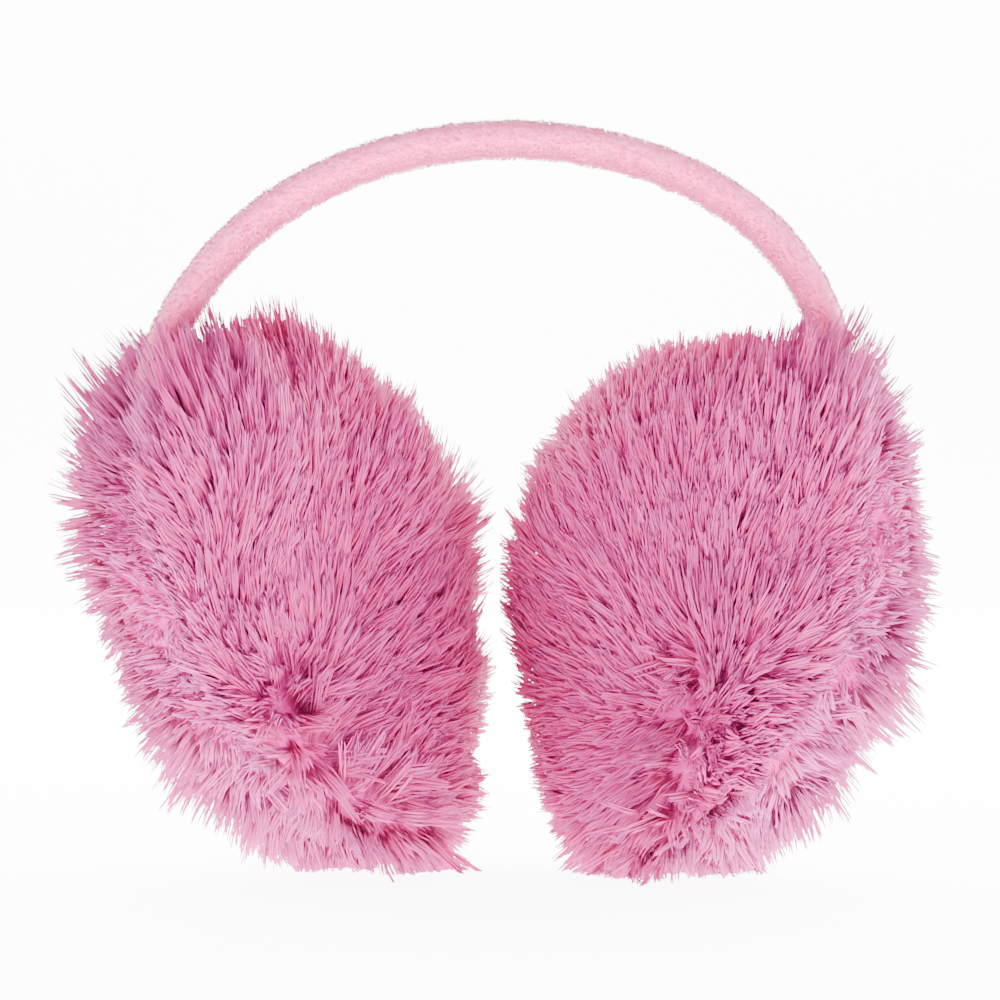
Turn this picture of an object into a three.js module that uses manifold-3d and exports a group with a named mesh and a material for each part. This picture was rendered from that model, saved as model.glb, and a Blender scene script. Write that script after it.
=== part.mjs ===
// Fur earmuffs: a padded plush headband that carries two thick ear cups of long-pile fur.
// Each cup is two fur halves sewn together round an oval seam: an inner half that meets the ear
// and a deeper outer half that the headband runs into. The cups toe out and stand on the floor.
// Millimetres. X runs across the head, Y from front to back, Z up. The pieces are laid out round the
// centre of the headband's arc, and the whole is then set on the floor.

import * as THREE from 'three';
import { mergeVertices } from 'three/addons/utils/BufferGeometryUtils.js';
import Module from 'manifold-3d';

const wasm = await Module();
wasm.setup();

// Headband
const bandRadius = 80.8; // centre line of the arc
const bandWidth = 25; // front to back
const bandThickness = 6.4;
const bandEndAngle = 22; // degrees above the arc's centre where each end stops, inside its cup
const bandEdgeRound = 0.62; // exponent of the strip's section: 1 is a true oval, lower is squarer
const tuckGrowth = 6; // exponent by which the tuck keeps to the headband's ends
const bandSteps = 38;
const bandSides = 12;

// Ear cups
const seamLong = 46; // half of the oval seam's long axis
const seamShort = 37; // half of its short axis
const innerBulge = 7; // stuffing on the ear side of the seam
const outerBulge = 17.5; // stuffing on the outer side of the seam
const seamRound = 0.92; // exponent of the oval: 1 is a true ellipse, lower is squarer
const seamTaper = 0.22; // share by which the oval is wider at its top and narrower at its foot
const dimpleDepth = 5; // pull-in where the pile parts on the ear side
const dimpleWidth = 13;
const pressed = 1.8; // depth by which a cup's own weight flattens its pile on the floor

// Fur
const underfur = 7; // dense pile over the backing
const lockLength = 17;
const lockWidth = 13;
const lockThickness = 6;
const lockVariety = 0.3; // spread of the locks' lengths, as a share
const lockSway = 0.5; // spread of their sideways lean
const lockShuffle = 0.35; // spread of their places in a row, as a share of their spacing

// Fits
const pieceGap = 0.3;
const roomSize = 6 * (bandRadius + seamLong); // blocks that are larger than the whole

const degrees = Math.PI / 180;
const back = new THREE.Vector3(0, 1, 0);
const up = new THREE.Vector3(0, 0, 1);

// facing: angle between the ear side's normal and the front; upturn: how far that normal points up;
// lean: tilt of the long axis, top outwards; inset and drop: cup's centre in from the headband's
// centre line and below the arc's centre, as shares of the seam's long axis; tuck: share of the
// radius by which the headband springs inwards at this cup; partOut and partUp: the pile's parting
// on the ear side, as shares of the seam's short axis (outwards) and long axis (upwards).
const cups = [
  {
    name: 'left', side: -1, facing: 55, upturn: 19, lean: 27, inset: 0.902, drop: 0.309, tuck: 0.06,
    partOut: 0.1, partUp: -0.4, seed: 11,
  },
  {
    name: 'right', side: 1, facing: 50, upturn: 19, lean: 18, inset: 0.97, drop: 0.293, tuck: 0.2,
    partOut: -0.1, partUp: -0.4, seed: 29,
  },
];

const halves = [
  { name: 'inner', away: 1, bulge: innerBulge, dimple: dimpleDepth, seed: 0 },
  { name: 'outer', away: -1, bulge: outerBulge, dimple: 0, seed: 5 },
];

// Sections of a half from the seam to its pole. reach and rise are shares of the seam's half axes
// and of the half's bulge; spread and lift are shares of the underfur, outwards and off the seam.
const sections = [
  { reach: 1.0, spread: 0.1, rise: 0.0, lift: 0.0 },
  { reach: 1.02, spread: 0.7, rise: 0.12, lift: 0.2 },
  { reach: 1.03, spread: 1.0, rise: 0.4, lift: 0.45 },
  { reach: 0.97, spread: 0.95, rise: 0.7, lift: 0.75 },
  { reach: 0.8, spread: 0.7, rise: 0.9, lift: 0.95 },
  { reach: 0.52, spread: 0.35, rise: 0.98, lift: 1.0 },
  { reach: 0.25, spread: 0.12, rise: 1.0, lift: 1.0 },
  { reach: 0.0, spread: 0.0, rise: 1.0, lift: 1.0 },
];
const segments = 22;

// Rows of locks on a half: place is the share of the way from seam to pole, count the locks round
// it, stand how far they stand off the surface, size their share of a full lock, and sink the depth
// of their roots as a share of the underfur.
const lockRows = [
  { place: 0.12, count: 18, stand: 0.26, size: 0.56, sink: 0.28 },
  { place: 0.3, count: 16, stand: 0.06, size: 0.72, sink: 0.23 },
  { place: 0.48, count: 14, stand: 0.14, size: 1.0, sink: 0.14 },
  { place: 0.66, count: 10, stand: 0.17, size: 1.15, sink: 0.09 },
  { place: 0.84, count: 5, stand: 0.18, size: 1.15, sink: 0.09 },
];

// Sections of a lock from root to tip, with girth as a share of its width and thickness.
const lockSections = [
  { along: 0, girth: 0.7 },
  { along: 0.5, girth: 1.0 },
];
const lockSides = 3;

function randomFrom(seed) {
  let state = seed;
  return () => {
    state = (state * 16807) % 2147483647;
    return state / 2147483647;
  };
}

// Solids

function solidOf(geometry) {
  const bare = geometry.clone();
  bare.deleteAttribute('normal');
  bare.deleteAttribute('uv');
  const merged = mergeVertices(bare, 1e-4);
  return new wasm.Manifold(
    new wasm.Mesh({
      numProp: 3,
      vertProperties: new Float32Array(merged.attributes.position.array),
      triVerts: new Uint32Array(merged.index.array),
    }),
  );
}

function rounded(value, exponent) {
  return Math.sign(value) * Math.abs(value) ** exponent;
}

function middleOf(ring) {
  return ring.reduce((sum, point) => sum.add(point), new THREE.Vector3()).divideScalar(ring.length);
}

function solidFromPoints(points, faces) {
  let volume = 0;
  for (const [a, b, c] of faces) {
    volume += points[a].dot(new THREE.Vector3().crossVectors(points[b], points[c]));
  }
  const facesOut = volume > 0 ? faces : faces.map(([a, b, c]) => [a, c, b]);
  return new wasm.Manifold(
    new wasm.Mesh({
      numProp: 3,
      vertProperties: new Float32Array(points.flatMap((p) => p.toArray())),
      triVerts: new Uint32Array(facesOut.flat()),
    }),
  );
}

function largestBody(solid) {
  return solid.decompose().reduce((best, body) => (body.volume() > best.volume() ? body : best));
}

function geometryOf(solid) {
  const mesh = solid.getMesh();
  const geometry = new THREE.BufferGeometry();
  geometry.setAttribute('position', new THREE.BufferAttribute(new Float32Array(mesh.vertProperties), 3));
  geometry.setIndex(new THREE.BufferAttribute(new Uint32Array(mesh.triVerts), 1));
  geometry.computeVertexNormals();
  return geometry;
}

// A solid skinned over rings of points. Its first and last rings have one point each, its two ends.
function solidOfRings(rings) {
  const faces = [];
  let start = 0;
  for (let r = 0; r < rings.length - 1; r++) {
    const here = rings[r].length;
    const there = rings[r + 1].length;
    const count = Math.max(here, there);
    for (let i = 0; i < count; i++) {
      const next = (i + 1) % count;
      const a = start + (i % here);
      const b = start + (next % here);
      const c = start + here + (next % there);
      const d = start + here + (i % there);
      if (a !== b) faces.push([a, b, c]);
      if (c !== d) faces.push([a, c, d]);
    }
    start += here;
  }
  return solidFromPoints(rings.flat(), faces);
}

// Headband

function bandSolid(clearance) {
  const start = bandEndAngle - clearance / bandRadius / degrees;
  const sweep = 180 - 2 * start;
  const rings = [];
  for (let step = 0; step <= bandSteps; step++) {
    const angle = (start + (sweep * step) / bandSteps) * degrees;
    const outwards = new THREE.Vector3(Math.cos(angle), 0, Math.sin(angle));
    const { tuck } = cups.find((cup) => cup.side * Math.cos(angle) >= 0);
    const centre = outwards.clone().multiplyScalar(bandRadius * (1 - tuck * Math.cos(angle) ** tuckGrowth));
    const ring = [];
    for (let i = 0; i < bandSides; i++) {
      const turn = (2 * Math.PI * i) / bandSides;
      const wide = rounded(Math.cos(turn), bandEdgeRound);
      const thick = rounded(Math.sin(turn), bandEdgeRound);
      ring.push(
        centre
          .clone()
          .addScaledVector(back, wide * (bandWidth / 2 + clearance))
          .addScaledVector(outwards, thick * (bandThickness / 2 + clearance)),
      );
    }
    rings.push(ring);
  }
  return solidOfRings([[middleOf(rings[0])], ...rings, [middleOf(rings[bandSteps])]]);
}

// Ear cups

function frameOf(cup) {
  const facing = cup.facing * degrees;
  const upturn = cup.upturn * degrees;
  const lean = cup.lean * degrees;
  const normal = new THREE.Vector3(
    -cup.side * Math.sin(facing) * Math.cos(upturn),
    -Math.cos(facing),
    Math.sin(facing) * Math.sin(upturn),
  );
  const long = new THREE.Vector3(cup.side * Math.sin(lean), 0, Math.cos(lean));
  long.addScaledVector(back, -long.dot(normal) / normal.y).normalize();
  const out = new THREE.Vector3().crossVectors(normal, long).multiplyScalar(-cup.side);
  const centre = new THREE.Vector3(
    cup.side * (bandRadius - cup.inset * seamLong),
    0,
    -cup.drop * seamLong,
  );
  return { normal, long, out, centre };
}

function sectionAt(place) {
  const row = Math.min(place * (sections.length - 1), sections.length - 1 - 1e-6);
  const low = Math.floor(row);
  const share = row - low;
  const mix = (key) => sections[low][key] * (1 - share) + sections[low + 1][key] * share;
  return { reach: mix('reach'), spread: mix('spread'), rise: mix('rise'), lift: mix('lift') };
}

// The point of a half's dense pile at a turn round the seam and a place from seam to pole.
function surfacePoint(cup, half, turn, place) {
  const { normal, long, out, centre } = frameOf(cup);
  const { reach, spread, rise, lift } = sectionAt(place);
  const alongLong = rounded(Math.sin(turn), seamRound);
  const alongShort = rounded(Math.cos(turn), seamRound);
  const risen = alongLong * (seamLong * reach + underfur * spread);
  const outward = alongShort * (seamShort * reach * (1 + seamTaper * alongLong) + underfur * spread);
  const fromParting = Math.hypot(risen - cup.partUp * seamLong, outward - cup.partOut * seamShort);
  const pulledIn = half.dimple * Math.exp(-((fromParting / dimpleWidth) ** 2));
  const height = (half.bulge - pulledIn) * rise + underfur * lift;
  return centre
    .clone()
    .addScaledVector(long, risen)
    .addScaledVector(out, outward)
    .addScaledVector(normal, half.away * (height + pieceGap / 2));
}

function surfaceNormal(cup, half, turn, place) {
  const small = 0.01;
  const here = surfacePoint(cup, half, turn, place);
  const round = surfacePoint(cup, half, turn + small, place).sub(here);
  const inwards = surfacePoint(cup, half, turn, place + small).sub(here);
  const normal = new THREE.Vector3().crossVectors(round, inwards).normalize();
  const fromCentre = here.clone().sub(frameOf(cup).centre);
  return normal.dot(fromCentre) < 0 ? normal.negate() : normal;
}

// The way the pile is combed: on the ear side away from its parting, on the outer side away from
// the seam and then down.
function combing(cup, half, point, place) {
  const { normal, long, out, centre } = frameOf(cup);
  if (half.name === 'inner') {
    const parting = centre
      .clone()
      .addScaledVector(long, cup.partUp * seamLong)
      .addScaledVector(out, cup.partOut * seamShort);
    return point.clone().sub(parting).projectOnPlane(normal).normalize();
  }
  const fromSeam = normal.clone().negate().multiplyScalar(1 - place);
  return fromSeam.addScaledVector(long, -place).normalize();
}

// A leaf-shaped lock that leaves the pile steeply and then bends over to lie along it.
function lockSolid(root, normal, comb, { stand, size, sink }, random) {
  const length = lockLength * size * (1 + lockVariety * (random() - 0.5));
  const start = comb.clone().addScaledVector(normal, stand * 1.4).normalize();
  const end = comb.clone().addScaledVector(normal, stand * 0.6).normalize();
  const side = new THREE.Vector3().crossVectors(normal, start).normalize();
  end.addScaledVector(side, lockSway * (random() - 0.5)).normalize();
  const centreAt = (along) =>
    root
      .clone()
      .addScaledVector(normal, -sink * underfur)
      .addScaledVector(start, length * along * (1 - along / 2))
      .addScaledVector(end, (length * along * along) / 2);
  const rings = lockSections.map(({ along, girth }) => {
    const centre = centreAt(along);
    const way = start.clone().lerp(end, along).normalize();
    const wide = new THREE.Vector3().crossVectors(way, normal).normalize();
    const thick = new THREE.Vector3().crossVectors(wide, way).normalize();
    return Array.from({ length: lockSides }, (_, i) => {
      const turn = (2 * Math.PI * i) / lockSides + Math.PI / 2;
      return centre
        .clone()
        .addScaledVector(wide, (lockWidth / 2) * size * girth * Math.cos(turn))
        .addScaledVector(thick, (lockThickness / 2) * size * girth * Math.sin(turn));
    });
  });
  return solidOfRings([[centreAt(0)], ...rings, [centreAt(1)]]);
}

// Rings of points of a half's dense pile, from the seam to just short of its pole.
function pileRings(cup, half) {
  return sections.slice(0, -1).map((_, row) =>
    Array.from({ length: segments }, (_, i) =>
      surfacePoint(cup, half, (2 * Math.PI * i) / segments, row / (sections.length - 1)),
    ),
  );
}

function domeSolid(cup, half) {
  const rings = pileRings(cup, half);
  return solidOfRings([[middleOf(rings[0])], ...rings, [surfacePoint(cup, half, 0, 1)]]);
}

// The floor's height, which presses into the dense pile of the cup that hangs less low.
function floorHeight() {
  const lowest = cups.map((cup) =>
    Math.min(...halves.flatMap((half) => pileRings(cup, half).flat().map((point) => point.z))),
  );
  return Math.max(...lowest) + pressed;
}

// The side of the seam's plane that a half keeps to, as a block.
function seamBlock(cup, half) {
  const { normal, centre } = frameOf(cup);
  const block = new THREE.BoxGeometry(roomSize, roomSize, roomSize);
  const turn = new THREE.Quaternion().setFromUnitVectors(up, normal);
  const middle = centre.clone().addScaledVector(normal, half.away * (roomSize / 2 + pieceGap / 2));
  block.applyMatrix4(new THREE.Matrix4().compose(middle, turn, new THREE.Vector3(1, 1, 1)));
  return solidOf(block);
}

// The space above the floor on a cup's own side of the middle, as a block.
function roomBlock(cup) {
  const block = new THREE.BoxGeometry(roomSize, roomSize, roomSize);
  block.translate(cup.side * (roomSize / 2 + pieceGap / 2), 0, floorHeight() + roomSize / 2);
  return solidOf(block);
}

function furHalf(cup, half) {
  const random = randomFrom(cup.seed + half.seed);
  let solid = domeSolid(cup, half);
  for (const row of lockRows) {
    const { place, count } = row;
    const first = random() * 2 * Math.PI;
    for (let i = 0; i < count; i++) {
      const turn = first + (2 * Math.PI * (i + lockShuffle * (random() - 0.5))) / count;
      const root = surfacePoint(cup, half, turn, place);
      const normal = surfaceNormal(cup, half, turn, place);
      const comb = combing(cup, half, root, place).projectOnPlane(normal).normalize();
      solid = solid.add(lockSolid(root, normal, comb, row, random));
    }
  }
  solid = solid.intersect(seamBlock(cup, half)).subtract(bandSolid(pieceGap));
  return largestBody(solid.intersect(roomBlock(cup)));
}

// Finishes

const plushFinish = new THREE.MeshStandardMaterial({ color: 0xf5b9ca, roughness: 0.95, metalness: 0 });
const furFinish = new THREE.MeshStandardMaterial({ color: 0xe28fb8, roughness: 0.85, metalness: 0 });

// Assembly, with the origin under the middle of the whole

const earmuffs = new THREE.Group();

function addPiece(name, solid, finish) {
  const piece = new THREE.Mesh(geometryOf(solid), finish);
  piece.name = name;
  earmuffs.add(piece);
}

addPiece('headband', bandSolid(0), plushFinish);
for (const cup of cups) {
  for (const half of halves) {
    addPiece(`${cup.name}_${half.name}_fur`, furHalf(cup, half), furFinish);
  }
}

const bounds = new THREE.Box3().setFromObject(earmuffs);
const middle = bounds.getCenter(new THREE.Vector3());
earmuffs.position.set(-middle.x, -middle.y, -bounds.min.z);

export default earmuffs;
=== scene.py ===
"""Fur earmuffs: a padded plush headband and two ear cups of long-pile fur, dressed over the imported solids."""

import math

import bpy
import numpy as np
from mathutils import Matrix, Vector


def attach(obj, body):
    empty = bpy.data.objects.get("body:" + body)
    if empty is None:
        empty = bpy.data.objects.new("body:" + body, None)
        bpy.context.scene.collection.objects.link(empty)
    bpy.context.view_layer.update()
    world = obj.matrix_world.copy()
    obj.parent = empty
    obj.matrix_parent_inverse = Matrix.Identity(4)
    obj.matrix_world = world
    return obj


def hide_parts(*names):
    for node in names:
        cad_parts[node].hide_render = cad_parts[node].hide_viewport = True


MM = 0.001

# The lie of the piece: the middle of the headband's arc in the frame, in millimetres.
ARC_MIDDLE = np.array([0.99, 1.86, 65.5])

# Headband
BAND_RADIUS = 80.8
BAND_WIDTH = 25.0
BAND_THICKNESS = 6.4
BAND_END_ANGLE = 22.0
BAND_EDGE_ROUND = 0.62
TUCK_GROWTH = 6

# Ear cups
SEAM_LONG = 46.0
SEAM_SHORT = 37.0
INNER_BULGE = 7.0
UPPER_BULGE = 6.5  # how much fuller the ear side is towards its top and back
OUTER_BULGE = 17.5
SEAM_ROUND = 0.92
SEAM_TAPER = 0.22
DIMPLE_DEPTH = 5.0
DIMPLE_WIDTH = 13.0
PIECE_GAP = 0.3
BACKING_PILE = 2.2  # dense wool that the long pile stands in
TURNS, RINGS = 84, 26  # points round a half and from its seam to its pole

# Pile: how many strands a half or the band grows
UNDERFUR_STRANDS = 17000
LONG_STRANDS = 12400
PLUSH_STRANDS = 42000
SKIN_SHARE = 0.6  # how far a strand is shaded as part of the surface it grows from

# Studio, in metres and watts: each soft light's place, what it points at, its side and its power
LIGHTS = {
    "overhead": ((0.0, 0.3, 0.9), (0, 0.05, 0.06), 0.9, 18),
    "front_left": ((-0.7, -0.8, 0.6), (0, 0, 0.07), 0.6, 4),
    "front_right": ((0.8, -0.7, 0.45), (0, 0, 0.07), 0.6, 3),
    "side_right": ((0.9, -0.05, 0.25), (0.05, 0, 0.05), 0.5, 12),
    "back_left": ((-0.85, 0.75, 0.55), (0, 0, 0.07), 0.6, 34),
    "back_right": ((0.85, 0.75, 0.45), (0, 0, 0.07), 0.6, 38),
}
FLOOR_GLOW = 8.8
SKY_GLOW = 0.5

# Each cup: the way its ear side faces, how its long axis leans, where it hangs on the headband, how
# wide its seam is towards the front, how far its pile keeps from the middle, the line its pile parts
# along (up the face, out towards the front),
# and how much longer or shorter its fringe is at a bearing seen from the front (0 right, 90 up).
CUPS = {
    "left": dict(
        side=-1, facing=55, upturn=19, lean=27, inset=0.902, drop=0.309, tuck=0.06, front_width=0.88, collar=0.8, room=1.6,
        parting=[(-7, 24), (-18, 28), (-29, 26), (-38, 21)], seed=11,
        fringe=[(0, 0.6), (20, 0.05), (45, 0.75), (60, 0.6), (76, -0.4), (90, 0.1), (105, 0.1), (120, 0.15), (135, 0.05),
                (165, -0.15), (185, -0.45), (225, 0.5), (240, 0.35), (270, 0.15), (296, 0.5), (316, -0.9), (335, 0.35)],
    ),
    "right": dict(
        side=1, facing=50, upturn=19, lean=18, inset=0.97, drop=0.293, tuck=0.2, front_width=0.98, collar=0.5, room=-1.0,
        parting=[(-16, 11), (-22, 17), (-32, 20), (-42, 21)], seed=29,
        fringe=[(0, 0), (30, -0.6), (45, -0.3), (60, 0.15), (76, -0.3), (92, -0.4), (105, -0.4), (135, 0), (150, -0.15),
                (165, 0.5), (195, 0), (225, -0.7), (242, -0.5), (256, 0.3), (285, 0), (305, 0.3), (322, -0.1), (345, 0.65)],
    ),
}

# A half from its seam to its pole: shares of the seam's axes, of the wool's thickness and of the bulge.
SECTIONS = np.array([
    # reach spread rise lift
    (1.00, 0.10, 0.00, 0.00),
    (1.02, 0.70, 0.12, 0.20),
    (1.03, 1.00, 0.40, 0.45),
    (0.97, 0.95, 0.70, 0.75),
    (0.80, 0.70, 0.90, 0.95),
    (0.52, 0.35, 0.98, 1.00),
    (0.25, 0.12, 1.00, 1.00),
    (0.00, 0.00, 1.00, 1.00),
])


# ---------------------------------------------------------------- shapes of the cups


def unit(v):
    return v / np.maximum(np.linalg.norm(v, axis=-1, keepdims=True), 1e-12)


def rounded(value, exponent):
    return np.sign(value) * np.abs(value) ** exponent


def cup_axes(cup):
    """The ear side's normal, the long axis, the axis towards the front, and the cup's middle."""
    facing, upturn, lean = (math.radians(cup[k]) for k in ("facing", "upturn", "lean"))
    side = cup["side"]
    normal = np.array([
        -side * math.sin(facing) * math.cos(upturn), -math.cos(facing), math.sin(facing) * math.sin(upturn),
    ])
    long = np.array([side * math.sin(lean), 0.0, math.cos(lean)])
    long[1] -= (long @ normal) / normal[1]
    long = unit(long)
    out = np.cross(normal, long) * -side
    middle = np.array([side * (BAND_RADIUS - cup["inset"] * SEAM_LONG), 0.0, -cup["drop"] * SEAM_LONG])
    return unit(normal), long, out, middle + ARC_MIDDLE


def section_at(place):
    """The sections blended smoothly at a place from seam (0) to pole (1)."""
    last = len(SECTIONS) - 1
    row = np.clip(place * last, 0, last - 1e-9)
    low = row.astype(int)
    t = (row - low)[..., None]
    padded = np.vstack([2 * SECTIONS[0] - SECTIONS[1], SECTIONS, SECTIONS[-1]])
    a, b, c, d = (padded[low + k] for k in range(4))
    return 0.5 * (2 * b + (c - a) * t + (2 * a - 5 * b + 4 * c - d) * t**2 + (3 * b - 3 * c + d - a) * t**3)


def half_surface(cup, away, turn, place, wool):
    """Points of a half's wool: away is 1 on the ear side and -1 on the outer side."""
    normal, long, out, middle = cup_axes(cup)
    reach, spread, rise, lift = np.moveaxis(section_at(place), -1, 0)
    along_long = rounded(np.sin(turn), SEAM_ROUND)
    along_short = rounded(np.cos(turn), SEAM_ROUND)
    short = SEAM_SHORT * np.where(along_short > 0, cup["front_width"], 1.0)
    risen = along_long * (SEAM_LONG * reach + wool * spread)
    outward = along_short * (short * reach * (1 + SEAM_TAPER * along_long) + wool * spread)
    bulge = OUTER_BULGE
    if away > 0:
        start = cup["parting"][0]
        fall = np.hypot(risen - start[0], outward - start[1]) / DIMPLE_WIDTH
        upper = np.clip((risen - 0.6 * outward + 5) / 45, 0, 1)
        bulge = INNER_BULGE + UPPER_BULGE * upper**2 * (3 - 2 * upper) - DIMPLE_DEPTH * np.exp(-fall**2)
    height = bulge * rise + wool * lift + PIECE_GAP / 2
    flat = np.stack([risen, outward], -1)
    points = middle + risen[..., None] * long + outward[..., None] * out + (away * height)[..., None] * normal
    return points, flat


def away_from_parting(flat, parting):
    """The way the pile is combed on a face: away from a parting line, as a plane direction."""
    line = np.array(parting, float)
    steps = np.linspace(0, len(line) - 1, 24)
    spots = np.stack([np.interp(steps, np.arange(len(line)), line[:, k]) for k in (0, 1)], -1)
    apart = flat[..., None, :] - spots
    near = np.linalg.norm(apart, axis=-1, keepdims=True) + 0.5
    return unit((apart / near**3.5).sum(-2)), near.min(axis=(-2, -1))


def drifting(points, spacing, seed):
    """A smooth random vector at each point, with bumps about that spacing apart."""
    rng = np.random.default_rng(seed)
    total = np.zeros((len(points), 3))
    for _ in range(14):
        wave = unit(rng.normal(size=3)) * 2 * math.pi / (spacing * rng.uniform(0.7, 1.6))
        total += rng.normal(size=3) * np.sin(points @ wave + rng.uniform(0, 2 * math.pi))[:, None]
    return total / math.sqrt(7)


def near_to(points, spot, spacing):
    """1 at the spot, fading to 0 round it."""
    return np.exp(-((np.linalg.norm(points - spot, axis=1) / spacing) ** 2))


def facing_out(points, faces):
    """The same faces, turned round if they enclose a negative volume."""
    volume = sum(
        points[f[0]] @ np.cross(points[f[k]], points[f[k + 1]]) for f in faces for k in range(1, len(f) - 1)
    )
    return faces if volume > 0 else [f[::-1] for f in faces]


def mesh_object(name, points, faces, material=None):
    mesh = bpy.data.meshes.new(name)
    mesh.from_pydata([tuple(p) for p in points], [], [tuple(int(i) for i in f) for f in faces])
    mesh.validate()
    mesh.shade_smooth()
    piece = bpy.data.objects.new(name, mesh)
    bpy.context.scene.collection.objects.link(piece)
    if material:
        mesh.materials.append(material)
    return piece


def keep_values(piece, name, kind, values):
    layer = piece.data.attributes.new(name, kind, "POINT")
    field = "vector" if kind == "FLOAT_VECTOR" else "value"
    layer.data.foreach_set(field, np.ascontiguousarray(values, np.float32).ravel())


def band_end(cup):
    """The middle of the headband's end inside a cup."""
    angle = math.radians(BAND_END_ANGLE)
    reach = BAND_RADIUS * (1 - cup["tuck"] * math.cos(angle) ** TUCK_GROWTH)
    return ARC_MIDDLE + reach * np.array([cup["side"] * math.cos(angle), 0, math.sin(angle)])


def wool_body(name, cup, away):
    """The dense wool of a half as a closed body, with how its long pile grows at each point."""
    normal, long, out, middle = cup_axes(cup)
    turn = np.linspace(0, 2 * math.pi, TURNS, endpoint=False)
    place = np.linspace(0, 1, RINGS) ** 0.9
    grid, flat = half_surface(cup, away, np.tile(turn, RINGS - 1), np.repeat(place[:-1], TURNS), BACKING_PILE)
    pole, pole_flat = half_surface(cup, away, np.zeros(1), np.ones(1), BACKING_PILE)
    seam_middle = grid[:TURNS].mean(0)
    points = np.vstack([grid, pole, seam_middle])
    flat = np.vstack([flat, pole_flat, [[0.0, 0.0]]])
    faces = []
    for r in range(RINGS - 2):
        for i in range(TURNS):
            a, b = r * TURNS + i, r * TURNS + (i + 1) % TURNS
            faces.append((a, b, b + TURNS, a + TURNS))
    top, last = len(grid), (RINGS - 2) * TURNS
    for i in range(TURNS):
        faces.append((last + i, last + (i + 1) % TURNS, top))
        faces.append(((i + 1) % TURNS, i, top + 1))
    points[:, 2] = np.maximum(points[:, 2], 1.2)
    faces = facing_out(points, faces)
    place_of = np.append(np.repeat(place[:-1], TURNS), [1.0, 0.0])
    radial = unit(flat[:, :1] * long + flat[:, 1:] * out)
    drift = drifting(points, 22, cup["seed"] + away)
    front = np.clip(flat[:, 1] / 12 + 0.5, 0, 1)
    end = band_end(cup)
    if away > 0:
        plane, from_parting = away_from_parting(flat, cup["parting"])
        comb = plane[:, :1] * long + plane[:, 1:] * out
        edge = np.clip(1 - place_of / 0.45, 0, 1)[:, None]
        comb = comb * (1 - 0.5 * edge) + radial * 0.5 * edge
        tangle = np.exp(-((from_parting / 9) ** 2))
        collar = near_to(points, end + np.array([0, -16, -5]), 20)
        low = np.clip(1.3 - points[:, 2] / 16, 0, 1) * np.clip(0.8 - points[:, 1] / 12, 0, 1)
        low = low * np.clip(1.1 + cup["side"] * (points[:, 0] - middle[0]) / 25, 0, 1)
        comb = unit(
            comb + drift * 0.22 + drifting(points, 6, cup["seed"]) * tangle[:, None]
            + np.array([0.15 * cup["side"], -0.1, 1.3]) * collar[:, None] + np.array([0, -1.4, -1.0]) * low[:, None]
        )
        stand = np.interp(place_of, [0, 0.2, 0.5, 1], [0.22, 0.2, 0.19, 0.19]) + 0.08 * tangle + 0.25 * collar
        at_seam = 1.15 - 0.75 * front * (1 - collar)
        reach = at_seam + (1 - at_seam) * np.clip(place_of / 0.42, 0, 1)
        reach *= (1 - 0.15 * tangle) * (1 + 0.7 * collar) * (1 + 0.5 * low)
    else:
        share = np.clip(place_of, 0, 1)[:, None]
        comb = radial * 0.75 * (1 - share) - normal * 0.65 * (1 - share) - long * share**1.5 * 1.2
        collar = near_to(points, end + np.array([3 * cup["side"], -4, -2]), 19)
        upright = radial * 0.7 + np.array([0.3 * cup["side"], -0.15, 0.8])
        comb = unit(comb + drift * 0.22 + upright * collar[:, None])
        furrow = front * (1 - collar) * np.interp(place_of, [0, 0.2, 0.36], [1, 1, 0])
        comb = unit(comb + drifting(points, 9, cup["seed"] + 3) * 0.9 * furrow[:, None])
        stand = np.interp(place_of, [0, 0.3, 0.5, 1], [0.45, 0.42, 0.32, 0.22]) + 0.1 * collar - 0.2 * furrow
        reach = np.interp(place_of, [0, 0.35, 1], [0.75, 0.95, 1.0])
        reach = reach * (1 + cup["collar"] * collar) * (1 - 0.38 * furrow)
    bearing = np.degrees(np.arctan2(points[:, 2] - middle[2], points[:, 0] - middle[0]))
    longer = np.interp(bearing, *zip(*cup["fringe"]), period=360)
    reach = reach * (1 + longer * np.clip(1.3 - place_of, 0, 1))
    reach = reach * (1 + 0.1 * drifting(points, 12, cup["seed"] + 2)[:, 0])
    grow = np.ones(len(points))
    grow[-1] = 0.0
    grow[:TURNS] = 0.6
    # Painted light: near its seam, where a half faces the other cup, the 'under' mask multiplies the pile and wool to a
    # deep saturated pink that stands for light bouncing between the cups and passing through the fur in the gap.
    painted_gap_pink = np.clip(-cup["side"] * radial[:, 0] * 1.3 - 0.2, 0, 1) * np.clip(1 - place_of / 0.8, 0, 1)
    painted_gap_pink *= np.clip((points[:, 2] - 5) / 25, 0.2, 1)
    # Painted light: the pile is painted paler near the seam, where light from behind passes through the fringe, except
    # where it faces the other cup; the outer halves are painted paler all over, the right cup's more than the left's,
    # for the light falling on their flanks.
    rim = np.clip(1 - place_of / 0.4, 0, 1)
    faded = 0.95 * rim * np.clip(1 - 3 * painted_gap_pink, 0, 1) if away > 0 else 0.45 + 0.15 * cup["side"] + 0.4 * rim
    body = mesh_object(name, points * MM, faces)
    keep_values(body, "under", "FLOAT", painted_gap_pink)
    keep_values(body, "faded", "FLOAT", faded)
    keep_values(body, "comb", "FLOAT_VECTOR", comb)
    keep_values(body, "stand", "FLOAT", stand)
    keep_values(body, "reach", "FLOAT", reach)
    keep_values(body, "grow", "FLOAT", grow)
    return body


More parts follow.
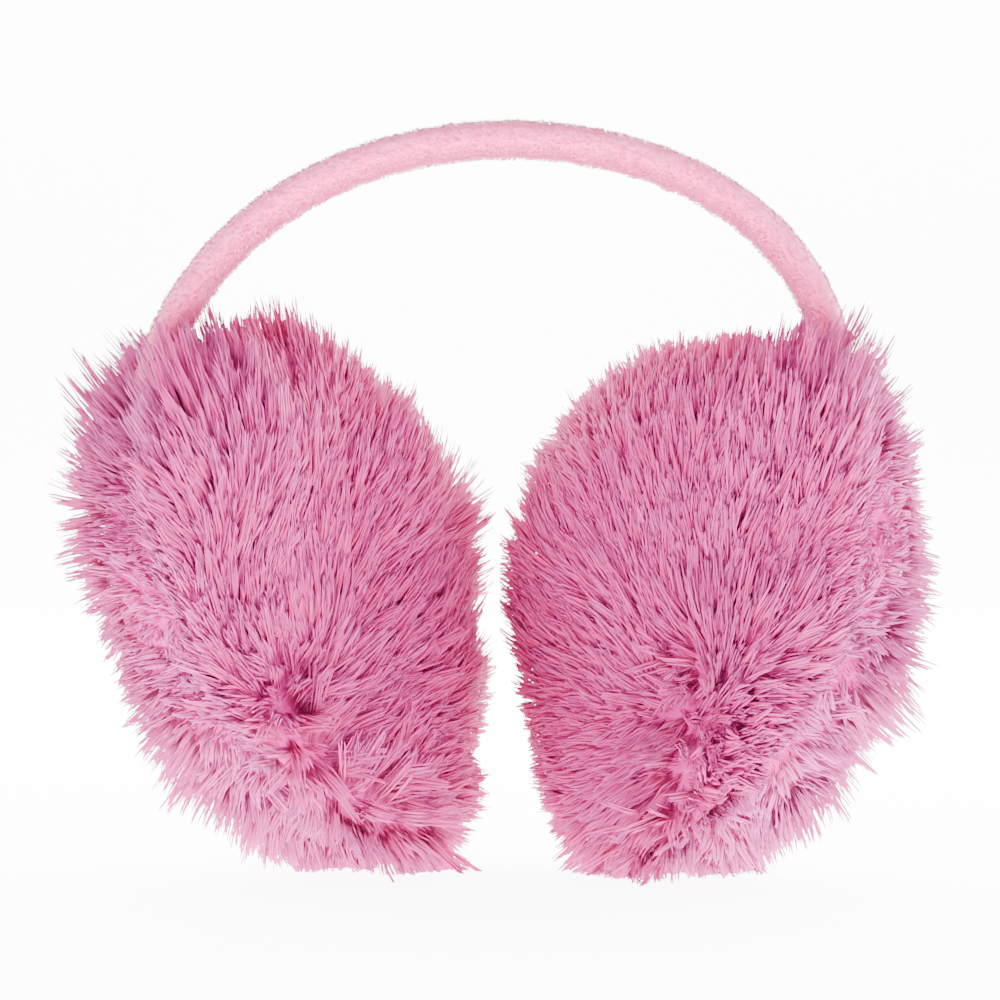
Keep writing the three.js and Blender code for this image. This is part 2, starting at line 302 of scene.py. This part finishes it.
def strand_shape(name, rings, slant):
    """A closed three-sided strand one unit long, fine at its root and cut off at a slant at its tip.

    The rings are (along, girth).
    """
    points, along = [(0, 0, 0)], [0]
    for r, (t, girth) in enumerate(rings):
        for k in range(3):
            angle = 2 * math.pi * k / 3 + math.pi / 2
            spot = t - slant * k / 2 if r == len(rings) - 1 else t
            points.append((math.cos(angle) * girth, math.sin(angle) * girth, spot))
            along.append(spot)
    faces = []
    for k in range(3):
        after = (k + 1) % 3
        faces.append((0, 1 + after, 1 + k))
        for r in range(len(rings) - 1):
            a, b = 3 * r + 1 + k, 3 * r + 1 + after
            faces.append((a, b, b + 3, a + 3))
    last = 3 * (len(rings) - 1) + 1
    faces.append((last, last + 1, last + 2))
    points = np.array(points, float)
    strand = mesh_object(name, points, facing_out(points, faces))
    keep_values(strand, "along", "FLOAT", along)
    return strand


# ---------------------------------------------------------------- trees of nodes


class Field:
    """An output in a tree of nodes, so that sums and products of fields read as sums and products."""

    def __init__(self, tree, socket):
        self.tree, self.socket = tree, socket
        self.is_vector = socket.type == "VECTOR"

    def _with(self, operation, other, turned=False):
        other_vector = other.is_vector if isinstance(other, Field) else isinstance(other, (tuple, Vector))
        pair = (other, self) if turned else (self, other)
        if self.is_vector and not other_vector and operation == "MULTIPLY":
            return vector_math(self.tree, "SCALE", self, scale=other)
        if other_vector and not self.is_vector and operation == "MULTIPLY":
            return vector_math(self.tree, "SCALE", other, scale=self)
        make = vector_math if self.is_vector or other_vector else plain_math
        return make(self.tree, operation, *pair)

    def __add__(self, other):
        return self._with("ADD", other)

    def __radd__(self, other):
        return self._with("ADD", other, True)

    def __sub__(self, other):
        return self._with("SUBTRACT", other)

    def __rsub__(self, other):
        return self._with("SUBTRACT", other, True)

    def __mul__(self, other):
        return self._with("MULTIPLY", other)

    __rmul__ = __mul__

    def __truediv__(self, other):
        return self._with("DIVIDE", other)

    def __rtruediv__(self, other):
        return plain_math(self.tree, "DIVIDE", other, self)

    def unit(self):
        return vector_math(self.tree, "NORMALIZE", self)

    def dot(self, other):
        return node(self.tree, "ShaderNodeVectorMath", {0: self, 1: other}, output="Value", operation="DOT_PRODUCT")

    def cross(self, other):
        return vector_math(self.tree, "CROSS_PRODUCT", self, other)

    def part(self, axis):
        node = self.tree.nodes.new("ShaderNodeSeparateXYZ")
        connect(self.tree, self, node.inputs[0])
        return Field(self.tree, node.outputs[axis])


def connect(tree, value, socket):
    if isinstance(value, Field):
        tree.links.new(value.socket, socket)
    else:
        socket.default_value = value


def plain_math(tree, operation, *values):
    node = tree.nodes.new("ShaderNodeMath")
    node.operation = operation
    for value, socket in zip(values, node.inputs):
        connect(tree, value, socket)
    return Field(tree, node.outputs[0])


def vector_math(tree, operation, *values, scale=None):
    node = tree.nodes.new("ShaderNodeVectorMath")
    node.operation = operation
    for value, socket in zip(values, node.inputs):
        if isinstance(value, (int, float)):
            value = (value, value, value)
        connect(tree, value, socket)
    if scale is not None:
        connect(tree, scale, node.inputs["Scale"])
    return Field(tree, node.outputs["Vector"])


def node(tree, kind, inputs=(), output=0, **settings):
    made = tree.nodes.new(kind)
    for key, value in settings.items():
        setattr(made, key, value)
    for key, value in dict(inputs).items():
        connect(tree, value, made.inputs[key])
    return Field(tree, made.outputs[output])


def joined(tree, x, y, z):
    return node(tree, "ShaderNodeCombineXYZ", {"X": x, "Y": y, "Z": z})


def new_tree(name, inputs):
    """A tree of geometry nodes with named inputs: {name: (socket type, value)}."""
    tree = bpy.data.node_groups.new(name, "GeometryNodeTree")
    tree.interface.new_socket("Geometry", in_out="INPUT", socket_type="NodeSocketGeometry")
    for label, (kind, value) in inputs.items():
        socket = tree.interface.new_socket(label, in_out="INPUT", socket_type=kind)
        if value is not None:
            socket.default_value = value
    tree.interface.new_socket("Geometry", in_out="OUTPUT", socket_type="NodeSocketGeometry")
    entry = tree.nodes.new("NodeGroupInput")
    return tree, {s.name: Field(tree, s) for s in entry.outputs if s.name}


def haired_area(piece):
    """The area of a body that pile grows on, weighed by how densely it grows."""
    grow = [value.value for value in piece.data.attributes["grow"].data]
    return sum(p.area * sum(grow[v] for v in p.vertices) / len(p.vertices) for p in piece.data.polygons)


def grow_pile(piece, tree, values):
    """Runs a tree on a piece and keeps the result as the piece's plain mesh."""
    modifier = piece.modifiers.new("pile", "NODES")
    modifier.node_group = tree
    sockets = {s.name: s.identifier for s in tree.interface.items_tree if s.in_out == "INPUT"}
    for label, value in values.items():
        modifier[sockets[label]] = value
    depsgraph = bpy.context.evaluated_depsgraph_get()
    mesh = bpy.data.meshes.new_from_object(piece.evaluated_get(depsgraph))
    piece.modifiers.remove(modifier)
    old, piece.data = piece.data, mesh
    mesh.name = old.name + "_grown"
    bpy.data.meshes.remove(old)
    if "sharp_face" in mesh.attributes:
        mesh.attributes.remove(mesh.attributes["sharp_face"])


def pile_tree():
    """Strands that stand in the wool, gathered into locks and combed along it."""
    tree, given = new_tree("pile", {
        "Strand": ("NodeSocketObject", None),
        "Strands Per Area": ("NodeSocketFloat", 1e6),
        "Lock Spacing": ("NodeSocketFloat", 0.003),
        "Strand Length": ("NodeSocketFloat", 0.015),
        "Strand Width": ("NodeSocketFloat", 0.0004),
        "Gathering": ("NodeSocketFloat", 0.7),
        "Sway": ("NodeSocketFloat", 0.35),
        "Unevenness": ("NodeSocketFloat", 0.25),
        "Stray": ("NodeSocketFloat", 0.15),
        "Sag": ("NodeSocketFloat", 0.1),
        "Own Side": ("NodeSocketFloat", 1.0),
        "Middle Room": ("NodeSocketFloat", 0.001),
        "Floor Height": ("NodeSocketFloat", 0.0003),
        "Seed": ("NodeSocketInt", 1),
        "Pile Finish": ("NodeSocketMaterial", None),
        "Wool Finish": ("NodeSocketMaterial", None),
        "Keep Wool": ("NodeSocketBool", True),
        "Fellow": ("NodeSocketObject", None),
    })

    def named(name, kind="FLOAT_VECTOR"):
        return node(tree, "GeometryNodeInputNamedAttribute", {"Name": name}, data_type=kind)

    def keep(geometry, name, value, kind="FLOAT_VECTOR"):
        values = {"Geometry": geometry, "Name": name, "Value": value}
        return node(tree, "GeometryNodeStoreNamedAttribute", values, data_type=kind, domain="POINT")

    def scattered(seed_step, method, **inputs):
        seed = given["Seed"] + seed_step
        points = tree.nodes.new("GeometryNodeDistributePointsOnFaces")
        points.distribute_method = method
        connect(tree, given["Geometry"], points.inputs["Mesh"])
        connect(tree, seed, points.inputs["Seed"])
        for key, value in inputs.items():
            connect(tree, value, points.inputs[key.replace("_", " ")])
        cloud = keep(Field(tree, points.outputs["Points"]), "skin", Field(tree, points.outputs["Normal"]))
        for name, step in (("chance", 7), ("luck", 13)):
            random = tree.nodes.new("FunctionNodeRandomValue")
            random.data_type = "FLOAT_VECTOR"
            connect(tree, (-1, -1, -1), random.inputs[0])
            connect(tree, (1, 1, 1), random.inputs[1])
            connect(tree, seed + step, random.inputs["Seed"])
            cloud = keep(cloud, name, Field(tree, random.outputs[0]))
        return cloud

    locks = scattered(
        0, "POISSON", Distance_Min=given["Lock Spacing"], Density_Factor=named("grow", "FLOAT"),
        Density_Max=5.0 / (given["Lock Spacing"] * given["Lock Spacing"]),
    )
    roots = scattered(100, "RANDOM", Density=given["Strands Per Area"] * named("grow", "FLOAT"))

    place = node(tree, "GeometryNodeInputPosition")
    nearest = node(tree, "GeometryNodeSampleNearest", {"Geometry": locks, "Sample Position": place})

    def of_lock(value, kind="FLOAT_VECTOR"):
        sample = tree.nodes.new("GeometryNodeSampleIndex")
        sample.data_type = kind
        connect(tree, locks, sample.inputs["Geometry"])
        connect(tree, value, sample.inputs["Value"])
        connect(tree, nearest, sample.inputs["Index"])
        return Field(tree, sample.outputs[0])

    # How each lock lies: swayed to a side, standing more or less, longer or shorter.
    lock_skin, lock_comb, lock_chance, lock_luck = (of_lock(named(n)) for n in ("skin", "comb", "chance", "luck"))
    lock_stand = of_lock(named("stand", "FLOAT"), "FLOAT") * (lock_chance.part(1) * 0.3 + 1.0)
    lock_comb = (lock_comb - lock_skin * plain_math(tree, "MINIMUM", lock_comb.dot(lock_skin), 0.0)).unit()
    aside = lock_skin.cross(lock_comb)
    way = (lock_comb + aside * (lock_chance.part(0) * given["Sway"])).unit()
    start = (way + lock_skin * (lock_stand * 1.9)).unit()
    end = (way + lock_skin * (lock_stand * 0.25) + joined(tree, 0.0, 0.0, given["Sag"] * -1.0)).unit()
    length = given["Strand Length"] * of_lock(named("reach", "FLOAT"), "FLOAT")
    length = length * (lock_chance.part(2) * given["Unevenness"] + 1.0)
    own_chance, own_luck = named("chance"), named("luck")
    length = length * (own_chance.part(2) * 0.14 + 0.93)
    own_start = (start + own_luck * given["Stray"]).unit()
    own_end = (end + own_chance * given["Stray"] * 1.2).unit()
    # Where a strand would cross the middle it ends before it, each at its own distance.
    room = place.part(0) * given["Own Side"] - given["Middle Room"]
    closing = plain_math(tree, "MAXIMUM", (own_start + own_end).part(0) * given["Own Side"] * -0.5, 0.05)
    free = plain_math(tree, "MAXIMUM", room / closing * (own_luck.part(0) * 0.25 + 0.85), 0.0015)
    length = plain_math(tree, "MINIMUM", length, free)
    for name, value in {
        "root": place, "lock_root": of_lock(place), "start": own_start, "end": own_end,
        "lock_start": start, "lock_end": end, "lock_skin": lock_skin,
    }.items():
        roots = keep(roots, name, value)
    roots = keep(roots, "strand_length", length, "FLOAT")
    roots = keep(roots, "tint", lock_luck.part(0) * 0.75 + own_luck.part(1) * 0.25, "FLOAT")
    roots = keep(roots, "shade", lock_luck.part(1) * 0.7 + own_luck.part(2) * 0.3, "FLOAT")
    roots = keep(roots, "number", node(tree, "GeometryNodeInputIndex"), "INT")

    strand = tree.nodes.new("GeometryNodeObjectInfo")
    connect(tree, given["Strand"], strand.inputs["Object"])
    strands = node(tree, "GeometryNodeInstanceOnPoints", {"Points": roots, "Instance": Field(tree, strand.outputs["Geometry"])})
    strands = node(tree, "GeometryNodeRealizeInstances", {"Geometry": strands})

    # A strand leaves its root one way and bends over to another, and its tip is drawn to its lock's.
    t = named("along", "FLOAT")
    early, late = t - t * t * 0.5, t * t * 0.5
    span = named("strand_length", "FLOAT")
    local = node(tree, "GeometryNodeInputPosition") - named("root")
    own = named("root") + (named("start") * early + named("end") * late) * span
    lock = named("lock_root") + (named("lock_start") * early + named("lock_end") * late) * span
    pull = plain_math(tree, "POWER", t, 1.3) * given["Gathering"]
    core = own + (lock - own) * pull
    heading = (named("start") * (1.0 - t) + named("end") * t).unit()
    wide = heading.cross(named("lock_skin")).unit()
    thick = heading.cross(wide)
    width = given["Strand Width"] * (named("chance").part(1) * 0.35 + 1.0)
    spot = core + (wide * local.part(0) + thick * (local.part(1) * 0.7)) * width
    x, y, z = (spot.part(k) for k in range(3))
    low = given["Floor Height"] * (named("luck").part(0) + 1.3)
    z = plain_math(tree, "MAXIMUM", z, low + local.part(1) * width * 0.3)
    across = plain_math(tree, "MAXIMUM", x * given["Own Side"], given["Middle Room"] + local.part(0) * width * 0.3)
    x = across * given["Own Side"]
    strands = node(tree, "GeometryNodeSetPosition", {"Geometry": strands, "Position": joined(tree, x, y, z)})

    for name in (
        "root", "lock_root", "start", "end", "lock_start", "lock_end", "lock_skin", "strand_length",
        "chance", "luck", "comb", "stand", "reach", "grow",
    ):
        strands = node(tree, "GeometryNodeRemoveAttribute", {"Geometry": strands, "Name": name})
    strands = node(tree, "GeometryNodeSetMaterial", {"Geometry": strands, "Material": given["Pile Finish"]})
    wool = node(tree, "GeometryNodeSetMaterial", {"Geometry": given["Geometry"], "Material": given["Wool Finish"]})
    kept = node(tree, "GeometryNodeSwitch", {"Switch": given["Keep Wool"], "True": wool}, input_type="GEOMETRY")
    fellow = tree.nodes.new("GeometryNodeObjectInfo")
    connect(tree, given["Fellow"], fellow.inputs["Object"])
    both = tree.nodes.new("GeometryNodeJoinGeometry")
    for part in (strands.socket, kept.socket, fellow.outputs["Geometry"]):
        tree.links.new(part, both.inputs[0])
    leave = tree.nodes.new("NodeGroupOutput")
    tree.links.new(both.outputs[0], leave.inputs[0])
    return tree


# ---------------------------------------------------------------- finishes


def new_material(name):
    material = bpy.data.materials.new(name)
    material.use_nodes = True
    tree = material.node_tree
    tree.nodes.clear()
    shader = tree.nodes.new("ShaderNodeBsdfPrincipled")
    out = tree.nodes.new("ShaderNodeOutputMaterial")
    tree.links.new(shader.outputs[0], out.inputs["Surface"])
    return material, tree, shader, out


def ramp(tree, factor, stops):
    made = tree.nodes.new("ShaderNodeValToRGB")
    made.color_ramp.interpolation = "EASE"
    elements = made.color_ramp.elements
    while len(elements) < len(stops):
        elements.new(0.5)
    for element, (at, colour) in zip(elements, stops):
        element.position = at
        element.color = (*colour, 1)
    connect(tree, factor, made.inputs[0])
    return Field(tree, made.outputs[0])


def mixed(tree, factor, a, b, blend="MIX"):
    made = tree.nodes.new("ShaderNodeMix")
    made.data_type = "RGBA"
    made.blend_type = blend
    connect(tree, factor, made.inputs[0])
    for value, socket in ((a, made.inputs[6]), (b, made.inputs[7])):
        connect(tree, (*value, 1) if isinstance(value, tuple) else value, socket)
    return Field(tree, made.outputs[2])


def noise(tree, coordinates, scale, detail=3.0, roughness=0.5):
    settings = {"Vector": coordinates, "Scale": scale, "Detail": detail, "Roughness": roughness}
    return node(tree, "ShaderNodeTexNoise", settings, output="Fac")


def attribute(tree, name, output="Fac"):
    return node(tree, "ShaderNodeAttribute", output=output, attribute_name=name)


def object_place(tree):
    return node(tree, "ShaderNodeTexCoord", output="Object")


def pile_material(name, stops, pale, deep, full, glow, sheen):
    """Pile that goes from a deep root to a pale tip, with locks that differ a little, and with painted light: paler at
    its rims and flanks, more saturated pink between the cups and under the band.
    """
    material, tree, shader, out = new_material(name)
    along, tint, shade = (attribute(tree, n) for n in ("along", "tint", "shade"))
    place = object_place(tree)
    drift = noise(tree, place, 45.0, 2.0)
    # The ramp is partly the pile's own colour and partly painted light: deeper at the root for the shade deep in the
    # pile, paler at the tip for the light through the tips.
    colour = ramp(tree, along, stops)
    colour = mixed(tree, plain_math(tree, "MAXIMUM", tint, 0.0) * 0.4, colour, pale)
    colour = mixed(tree, plain_math(tree, "MAXIMUM", tint * -1.0, 0.0) * 0.25, colour, deep, "MULTIPLY")
    # Painted light: paler where light passes through the rims and falls on the flanks.
    colour = mixed(tree, attribute(tree, "faded") * 0.7, colour, pale)
    # Painted light: more saturated pink where light bounces between the cups, and on the band's underside that the
    # bright floor lights.
    colour = mixed(tree, attribute(tree, "under"), colour, full, "MULTIPLY")
    bright = shade * 0.06 + (drift - 0.5) * 0.25 + 1.0
    grey = node(tree, "ShaderNodeCombineColor", {"Red": bright, "Green": bright, "Blue": bright})
    colour = mixed(tree, 1.0, colour, grey, "MULTIPLY")
    tree.links.new(colour.socket, shader.inputs["Base Color"])
    grain = noise(tree, place, 2600.0, 2.0)
    connect(tree, grain * 0.2 + 0.5, shader.inputs["Roughness"])
    own = node(tree, "ShaderNodeNewGeometry", output="Normal")
    soft = (own * (1 - SKIN_SHARE) + attribute(tree, "skin", "Vector") * SKIN_SHARE).unit()
    tree.links.new(soft.socket, shader.inputs["Normal"])
    shader.inputs["Specular IOR Level"].default_value = 0.25
    shader.inputs["Sheen Weight"].default_value = sheen
    shader.inputs["Sheen Roughness"].default_value = 0.45
    through = tree.nodes.new("ShaderNodeBsdfTranslucent")
    tree.links.new(colour.socket, through.inputs["Color"])
    tree.links.new(soft.socket, through.inputs["Normal"])
    blend = tree.nodes.new("ShaderNodeMixShader")
    blend.inputs[0].default_value = glow
    tree.links.new(shader.outputs[0], blend.inputs[1])
    tree.links.new(through.outputs[0], blend.inputs[2])
    tree.links.new(blend.outputs[0], out.inputs["Surface"])
    return material


def wool_material(name, deep, pale, full):
    material, tree, shader, out = new_material(name)
    place = object_place(tree)
    tufts = noise(tree, place, 420.0, 4.0, 0.6)
    # Painted light: the wool too turns a more saturated pink where the 'under' mask paints light bouncing between the
    # cups or coming up from the floor under the band.
    colour = mixed(tree, attribute(tree, "under"), ramp(tree, tufts, [(0.3, deep), (0.75, pale)]), full, "MULTIPLY")
    tree.links.new(colour.socket, shader.inputs["Base Color"])
    connect(tree, tufts * 0.25 + 0.7, shader.inputs["Roughness"])
    shader.inputs["Specular IOR Level"].default_value = 0.2
    bump = node(tree, "ShaderNodeBump", {"Height": tufts, "Strength": 0.6, "Distance": 0.001}, output="Normal")
    tree.links.new(bump.socket, shader.inputs["Normal"])
    return material


def floor_material():
    material, tree, shader, out = new_material("studio_white")
    cloud = noise(tree, object_place(tree), 3.0, 2.0)
    white = ramp(tree, cloud, [(0.0, (0.93, 0.93, 0.93)), (1.0, (0.95, 0.95, 0.95))])
    tree.links.new(white.socket, shader.inputs["Base Color"])
    shader.inputs["Roughness"].default_value = 0.9
    shader.inputs["Emission Color"].default_value = (1, 1, 1, 1)
    shader.inputs["Emission Strength"].default_value = FLOOR_GLOW
    return material


# ---------------------------------------------------------------- headband


def band_body():
    """The padded sleeve of the headband, with its gathers and the fold along its inner side."""
    steps, sides = 200, 40
    start = BAND_END_ANGLE
    angle = np.radians(np.linspace(start, 180 - start, steps))
    tuck = np.where(np.cos(angle) > 0, CUPS["right"]["tuck"], CUPS["left"]["tuck"])
    radius = BAND_RADIUS * (1 - tuck * np.cos(angle) ** TUCK_GROWTH + 0.016 * np.sin(2 * angle) ** 2)
    outwards = np.stack([np.cos(angle), np.zeros(steps), np.sin(angle)], -1)
    centre = outwards * radius[:, None] + ARC_MIDDLE
    turn = np.linspace(0, 2 * math.pi, sides, endpoint=False)
    wide = rounded(np.cos(turn), BAND_EDGE_ROUND) * (BAND_WIDTH / 2 - 0.8)
    thick = rounded(np.sin(turn), BAND_EDGE_ROUND) * (BAND_THICKNESS / 2 - 0.3)
    rng = np.random.default_rng(7)
    waves = sum(
        rng.uniform(0.5, 1)
        * np.sin(angle[:, None] * rng.uniform(20, 90) + turn[None] * rng.integers(1, 4) + rng.uniform(0, 6.28))
        for _ in range(9)
    ) / 9
    inner = np.clip(-np.sin(turn), 0, 1)[None]
    fold = np.exp(-((np.cos(turn)[None] - 0.25) / 0.18) ** 2) * inner
    swell = 0.35 * waves * (0.6 + inner) - 0.7 * fold
    rim = unit(np.stack([wide / 12, thick / 3], -1))
    back = np.array([0.0, 1.0, 0.0])
    ring = (
        centre[:, None]
        + back * (wide[None] + swell * rim[None, :, 0])[..., None]
        + outwards[:, None] * (thick[None] + swell * rim[None, :, 1])[..., None]
    )
    points = np.vstack([ring.reshape(-1, 3), centre[:1], centre[-1:]])
    faces = []
    for s in range(steps - 1):
        for i in range(sides):
            a, b = s * sides + i, s * sides + (i + 1) % sides
            faces.append((a, a + sides, b + sides, b))
    end = (steps - 1) * sides
    for i in range(sides):
        faces.append((i, (i + 1) % sides, steps * sides))
        faces.append((end + (i + 1) % sides, end + i, steps * sides + 1))
    body = mesh_object("headband_plush", points * MM, facing_out(points, faces))
    along = np.stack([-np.sin(angle), np.zeros(steps), np.cos(angle)], -1)
    comb = np.vstack([np.repeat(along, sides, 0), along[:1], along[-1:]])
    keep_values(body, "comb", "FLOAT_VECTOR", comb)
    count = len(points)
    keep_values(body, "stand", "FLOAT", np.full(count, 0.9))
    keep_values(body, "reach", "FLOAT", np.ones(count))
    keep_values(body, "grow", "FLOAT", np.append(np.ones(count - 2), [0.0, 0.0]))
    # Painted light: the lower half of the band's section, which faces the bright floor, is marked to be painted a more
    # saturated pink.
    keep_values(body, "under", "FLOAT", np.append(np.tile(np.clip(0.5 - 3 * np.sin(turn), 0, 1), steps), [0.0, 0.0]))
    return body


# ---------------------------------------------------------------- studio


def studio():
    width, depth, rise, bend = 4.0, 1.6, 1.6, 0.5
    profile = [(-1.4, 0.0), (depth - bend, 0.0)]
    profile += [
        (depth - bend + bend * math.sin(a), bend - bend * math.cos(a)) for a in np.linspace(0, math.pi / 2, 16)[1:]
    ]
    profile.append((depth, rise))
    points = [(x, y, z) for y, z in profile for x in (-width / 2, width / 2)]
    faces = [(2 * i, 2 * i + 1, 2 * i + 3, 2 * i + 2) for i in range(len(profile) - 1)]
    sweep = mesh_object("studio_sweep", points, faces, floor_material())

    world = bpy.data.worlds.new("studio")
    bpy.context.scene.world = world
    world.use_nodes = True
    background = world.node_tree.nodes["Background"]
    background.inputs["Color"].default_value = (1.0, 0.985, 0.985, 1)
    background.inputs["Strength"].default_value = SKY_GLOW

    for name, (place, aim, side, power) in LIGHTS.items():
        light = bpy.data.lights.new(name, "AREA")
        light.shape = "RECTANGLE"
        light.size = light.size_y = side
        light.energy = power
        lamp = bpy.data.objects.new(name, light)
        bpy.context.scene.collection.objects.link(lamp)
        lamp.location = place
        lamp.rotation_euler = (Vector(aim) - Vector(place)).to_track_quat("-Z", "Y").to_euler()

    camera = bpy.data.objects.new("camera", bpy.data.cameras.new("camera"))
    bpy.context.scene.collection.objects.link(camera)
    camera.location = (-0.0009, -0.5981, 0.0744)
    camera.rotation_euler = (math.radians(90), 0, 0)
    camera.data.sensor_width = 36
    camera.data.lens = 108
    camera.data.clip_start = 0.01
    bpy.context.scene.camera = camera


# ---------------------------------------------------------------- the part


def dress():
    tree = pile_tree()
    long_strand = strand_shape("long_strand", [(0.5, 1.0), (1.0, 0.6)], 0.12)
    short_strand = strand_shape("short_strand", [(1.0, 0.9)], 0.25)
    # In each finish the last colour is painted light: what the 'under' mask multiplies in for light bouncing between
    # the cups or lit from the floor below the band; the pile's pale colour is also laid on as painted light at the rims
    # and flanks.
    fur = pile_material(
        "long_pile",
        [(0.0, (0.84, 0.03, 0.26)), (0.4, (0.87, 0.042, 0.31)), (0.85, (0.88, 0.075, 0.42)), (1.0, (0.91, 0.125, 0.51))],
        (0.95, 0.23, 0.65), (0.97, 0.62, 0.84), (1.0, 0.25, 0.42), 0.45, 0.06,
    )
    # The wool's deep pink is partly its own colour and partly painted shade: it is dark so that where it shows at a
    # parting it looks like the shade deep between the locks.
    wool = wool_material("fur_wool", (0.6, 0.02, 0.24), (0.75, 0.04, 0.33), (1.0, 0.5, 0.7))
    plush = pile_material(
        "plush_pile",
        [(0.0, (0.92, 0.10, 0.34)), (0.5, (0.94, 0.15, 0.40)), (0.9, (0.95, 0.21, 0.47)), (1.0, (0.96, 0.26, 0.51))],
        (0.96, 0.36, 0.60), (0.95, 0.80, 0.9), (1.0, 0.6, 0.88), 0.35, 0.15,
    )
    sleeve = wool_material("plush_sleeve", (0.92, 0.14, 0.36), (0.95, 0.2, 0.42), (1.0, 0.6, 0.88))

    pieces = []
    for cup_name, cup in CUPS.items():
        for half_name, away, step in (("inner", 1, 0), ("outer", -1, 5)):
            piece = wool_body(f"{cup_name}_{half_name}_pile", cup, away)
            under = wool_body("underfur", cup, away)
            haired = haired_area(piece)
            same = {
                "Own Side": float(cup["side"]), "Middle Room": cup["room"] * MM, "Floor Height": 0.4 * MM,
                "Pile Finish": fur, "Wool Finish": wool,
            }
            grow_pile(under, tree, {
                "Strand": short_strand, "Strands Per Area": UNDERFUR_STRANDS / haired, "Lock Spacing": 1.6 * MM,
                "Strand Length": 7.2 * MM, "Strand Width": 0.22 * MM,
                "Gathering": 0.35, "Sway": 0.5, "Unevenness": 0.25, "Stray": 0.25, "Sag": 0.0,
                "Seed": cup["seed"] + step + 50, **same,
            })
            grow_pile(piece, tree, {
                "Strand": long_strand, "Strands Per Area": LONG_STRANDS / haired, "Lock Spacing": 1.9 * MM,
                "Strand Length": 10.0 * MM, "Strand Width": 0.25 * MM,
                "Gathering": 0.45, "Sway": 0.33, "Unevenness": 0.2, "Stray": 0.15, "Sag": 0.06,
                "Seed": cup["seed"] + step, "Keep Wool": False, "Fellow": under, **same,
            })
            bpy.data.objects.remove(under)
            pieces.append((piece, f"{cup_name}_{half_name}_fur", "fur", 0.8))
    band = band_body()
    grow_pile(band, tree, {
        "Strand": short_strand, "Strands Per Area": PLUSH_STRANDS / haired_area(band),
        "Lock Spacing": 1.4 * MM, "Strand Length": 1.0 * MM, "Strand Width": 0.1 * MM,
        "Gathering": 0.1, "Sway": 0.9, "Unevenness": 0.2, "Stray": 0.7, "Sag": 0.0,
        "Own Side": 1.0, "Middle Room": -1.0, "Floor Height": 0.0, "Seed": 3,
        "Pile Finish": plush, "Wool Finish": sleeve,
    })
    pieces.append((band, "headband", "plush", 0.7))
    for strand in (long_strand, short_strand):
        bpy.data.objects.remove(strand)
    for piece, replaced, slot, fill in pieces:
        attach(piece, "root")
        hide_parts(replaced)


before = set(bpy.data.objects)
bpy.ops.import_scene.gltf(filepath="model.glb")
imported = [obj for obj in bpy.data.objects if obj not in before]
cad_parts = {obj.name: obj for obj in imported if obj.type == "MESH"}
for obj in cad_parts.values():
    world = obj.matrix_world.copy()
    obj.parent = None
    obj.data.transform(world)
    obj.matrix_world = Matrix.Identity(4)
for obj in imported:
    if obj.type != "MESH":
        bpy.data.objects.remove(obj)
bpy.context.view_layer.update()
studio()
dress()
